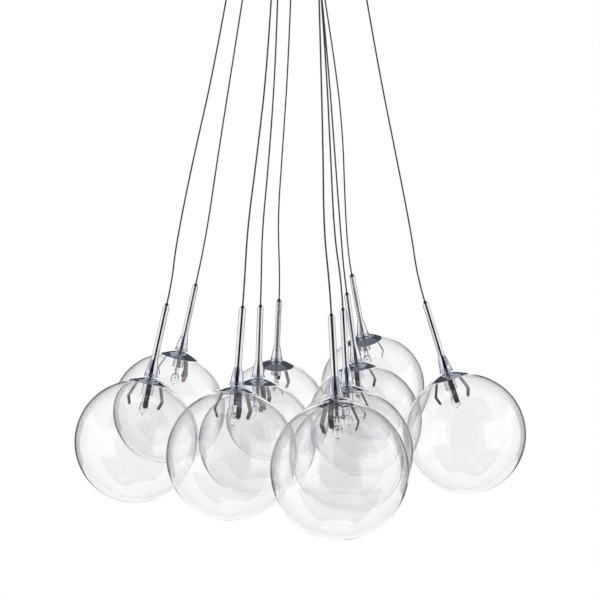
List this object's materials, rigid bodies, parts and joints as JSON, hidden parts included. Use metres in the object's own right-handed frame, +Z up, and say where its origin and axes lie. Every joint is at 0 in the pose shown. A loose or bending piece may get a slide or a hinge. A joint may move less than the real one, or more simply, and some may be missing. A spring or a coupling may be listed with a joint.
{
  "type": "cluster pendant",
  "caption": "Cluster ceiling pendant: clear glass globes on thin cords from one round canopy, each with a chrome stem, domed cap, sprung clips and a small halogen lamp.",
  "frame": {"origin": "middle of the canopy's ceiling face", "axes": "+Z up into the ceiling, +X to the viewer's right, +Y away from the viewer"},
  "size_m": [0.5573, 0.65, 0.7161],
  "materials": {
    "globe_glass": "clear blown glass, pale blue grey at the edges",
    "lamp_glass": "clear quartz glass",
    "stem_chrome": "polished",
    "canopy_chrome": "polished",
    "spring_steel": "satin spring steel, brownish grey",
    "cord_sheath": "dark brown grey plastic sheath",
    "zinc_plated_steel": "zinc plated",
    "black_plastic": "moulded black nylon",
    "white_plastic": "moulded white nylon",
    "brass": "turned"
  },
  "bodies": {
    "canopy": {"mounting_plate": "zinc_plated_steel", "canopy_cup": "canopy_chrome", "canopy_side_screws": "canopy_chrome", "transformer": "black_plastic", "terminal_block": "white_plastic", "terminal_screws": "brass", "inner_screws": "zinc_plated_steel", "cord_bushings": "black_plastic", "bushing_nuts": "brass", "inner_leads": "cord_sheath", "cord_04": "cord_sheath", "cord_07": "cord_sheath", "cord_08": "cord_sheath"},
    "cord_01_swing": {"cord_01": "cord_sheath"},
    "head_01": {"stem_01": "stem_chrome", "clips_01": "spring_steel", "globe_01": "globe_glass"},
    "capsule_01": {"lamp_01": "lamp_glass"},
    "cord_02_swing": {"cord_02": "cord_sheath"},
    "head_02": {"stem_02": "stem_chrome", "clips_02": "spring_steel", "globe_02": "globe_glass"},
    "capsule_02": {"lamp_02": "lamp_glass"},
    "cord_03_swing": {"cord_03": "cord_sheath"},
    "head_03": {"stem_03": "stem_chrome", "clips_03": "spring_steel", "globe_03": "globe_glass"},
    "capsule_03": {"lamp_03": "lamp_glass"},
    "head_04": {"stem_04": "stem_chrome", "clips_04": "spring_steel", "globe_04": "globe_glass"},
    "capsule_04": {"lamp_04": "lamp_glass"},
    "cord_05_swing": {"cord_05": "cord_sheath"},
    "head_05": {"stem_05": "stem_chrome", "clips_05": "spring_steel", "globe_05": "globe_glass"},
    "capsule_05": {"lamp_05": "lamp_glass"},
    "cord_06_swing": {"cord_06": "cord_sheath"},
    "head_06": {"stem_06": "stem_chrome", "clips_06": "spring_steel", "globe_06": "globe_glass"},
    "capsule_06": {"lamp_06": "lamp_glass"},
    "head_07": {"stem_07": "stem_chrome", "clips_07": "spring_steel", "globe_07": "globe_glass"},
    "capsule_07": {"lamp_07": "lamp_glass"},
    "head_08": {"stem_08": "stem_chrome", "clips_08": "spring_steel", "globe_08": "globe_glass"},
    "capsule_08": {"lamp_08": "lamp_glass"},
    "cord_09_swing": {"cord_09": "cord_sheath"},
    "head_09": {"stem_09": "stem_chrome", "clips_09": "spring_steel", "globe_09": "globe_glass"},
    "capsule_09": {"lamp_09": "lamp_glass"},
    "cord_10_swing": {"cord_10": "cord_sheath"},
    "head_10": {"stem_10": "stem_chrome", "clips_10": "spring_steel", "globe_10": "globe_glass"},
    "capsule_10": {"lamp_10": "lamp_glass"}
  },
  "joints": [
    {"name": "swing_01", "type": "hinge", "parent": "canopy", "child": "cord_01_swing", "pos_m": [-0.08297, -0.01314, -0.0465], "axis": [-0.342, 0.9397, 0], "range_deg": [0, 24]},
    {"name": "turn_01", "type": "hinge", "parent": "cord_01_swing", "child": "head_01", "pos_m": [-0.16128, -0.0575, -0.46384], "axis": [0.2099, 0.1069, 0.9719], "range_deg": [-90, 90], "stiffness_Nm_per_rad": 0.004},
    {"name": "lamp_pull_01", "type": "slide", "parent": "head_01", "child": "capsule_01", "axis": [-0.2099, -0.1069, -0.9719], "range_m": [0, 0.007]},
    {"name": "swing_02", "type": "hinge", "parent": "canopy", "child": "cord_02_swing", "pos_m": [-0.06796, 0.04937, -0.0465], "axis": [0.5, 0.866, 0], "range_deg": [0, 24]},
    {"name": "turn_02", "type": "hinge", "parent": "cord_02_swing", "child": "head_02", "pos_m": [-0.13606, 0.07062, -0.44381], "axis": [0.2239, -0.0487, 0.9734], "range_deg": [-90, 90], "stiffness_Nm_per_rad": 0.004},
    {"name": "lamp_pull_02", "type": "slide", "parent": "head_02", "child": "capsule_02", "axis": [-0.2239, 0.0487, -0.9734], "range_m": [0, 0.007]},
    {"name": "swing_03", "type": "hinge", "parent": "canopy", "child": "cord_03_swing", "pos_m": [-0.02873, -0.07893, -0.0465], "axis": [-0.788, 0.6157, 0], "range_deg": [0, 24]},
    {"name": "turn_03", "type": "hinge", "parent": "cord_03_swing", "child": "head_03", "pos_m": [-0.06388, -0.14311, -0.46282], "axis": [0.07, 0.148, 0.9865], "range_deg": [-90, 90], "stiffness_Nm_per_rad": 0.004},
    {"name": "lamp_pull_03", "type": "slide", "parent": "head_03", "child": "capsule_03", "axis": [-0.07, -0.148, -0.9865], "range_m": [0, 0.007]},
    {"name": "turn_04", "type": "hinge", "parent": "canopy", "child": "head_04", "pos_m": [-0.04732, -0.00912, -0.46819], "axis": [0.034, 0, 0.9994], "range_deg": [-90, 90], "stiffness_Nm_per_rad": 0.004},
    {"name": "lamp_pull_04", "type": "slide", "parent": "head_04", "child": "capsule_04", "axis": [-0.034, 0, -0.9994], "range_m": [0, 0.007]},
    {"name": "swing_05", "type": "hinge", "parent": "canopy", "child": "cord_05_swing", "pos_m": [-0.00878, 0.08354, -0.0465], "axis": [0.9848, 0.1736, 0], "range_deg": [0, 24]},
    {"name": "turn_05", "type": "hinge", "parent": "cord_05_swing", "child": "head_05", "pos_m": [-0.02708, 0.19672, -0.47039], "axis": [0.0455, -0.2423, 0.9691], "range_deg": [-90, 90], "stiffness_Nm_per_rad": 0.004},
    {"name": "lamp_pull_05", "type": "slide", "parent": "head_05", "child": "capsule_05", "axis": [-0.0455, 0.2423, -0.9691], "range_m": [0, 0.007]},
    {"name": "swing_06", "type": "hinge", "parent": "canopy", "child": "cord_06_swing", "pos_m": [0.02456, -0.08033, -0.0465], "axis": [-0.9781, -0.2079, 0], "range_deg": [0, 24]},
    {"name": "turn_06", "type": "hinge", "parent": "cord_06_swing", "child": "head_06", "pos_m": [0.03782, -0.21177, -0.46795], "axis": [-0.045, 0.2871, 0.9569], "range_deg": [-90, 90], "stiffness_Nm_per_rad": 0.004},
    {"name": "lamp_pull_06", "type": "slide", "parent": "head_06", "child": "capsule_06", "axis": [0.045, -0.2871, -0.9569], "range_m": [0, 0.007]},
    {"name": "turn_07", "type": "hinge", "parent": "canopy", "child": "head_07", "pos_m": [0.05493, -0.08716, -0.46824], "axis": [-0.0515, 0.1287, 0.9903], "range_deg": [-90, 90], "stiffness_Nm_per_rad": 0.004},
    {"name": "lamp_pull_07", "type": "slide", "parent": "head_07", "child": "capsule_07", "axis": [0.0515, -0.1287, -0.9903], "range_m": [0, 0.007]},
    {"name": "turn_08", "type": "hinge", "parent": "canopy", "child": "head_08", "pos_m": [0.06455, 0.04445, -0.45482], "axis": [-0.1365, -0.0593, 0.9889], "range_deg": [-90, 90], "stiffness_Nm_per_rad": 0.004},
    {"name": "lamp_pull_08", "type": "slide", "parent": "head_08", "child": "capsule_08", "axis": [0.1365, 0.0593, -0.9889], "range_m": [0, 0.007]},
    {"name": "swing_09", "type": "hinge", "parent": "canopy", "child": "cord_09_swing", "pos_m": [0.03282, 0.07732, -0.0465], "axis": [0.766, -0.6428, 0], "range_deg": [0, 24]},
    {"name": "turn_09", "type": "hinge", "parent": "cord_09_swing", "child": "head_09", "pos_m": [0.07567, 0.15784, -0.43334], "axis": [-0.1864, -0.2649, 0.9461], "range_deg": [-90, 90], "stiffness_Nm_per_rad": 0.004},
    {"name": "lamp_pull_09", "type": "slide", "parent": "head_09", "child": "capsule_09", "axis": [0.1864, 0.2649, -0.9461], "range_m": [0, 0.007]},
    {"name": "swing_10", "type": "hinge", "parent": "canopy", "child": "cord_10_swing", "pos_m": [0.07893, -0.02873, -0.0465], "axis": [-0.1736, -0.9848, 0], "range_deg": [0, 24]},
    {"name": "turn_10", "type": "hinge", "parent": "cord_10_swing", "child": "head_10", "pos_m": [0.15904, -0.03734, -0.46222], "axis": [-0.2931, 0.0477, 0.9549], "range_deg": [-90, 90], "stiffness_Nm_per_rad": 0.004},
    {"name": "lamp_pull_10", "type": "slide", "parent": "head_10", "child": "capsule_10", "axis": [0.2931, -0.0477, -0.9549], "range_m": [0, 0.007]}
  ]
}
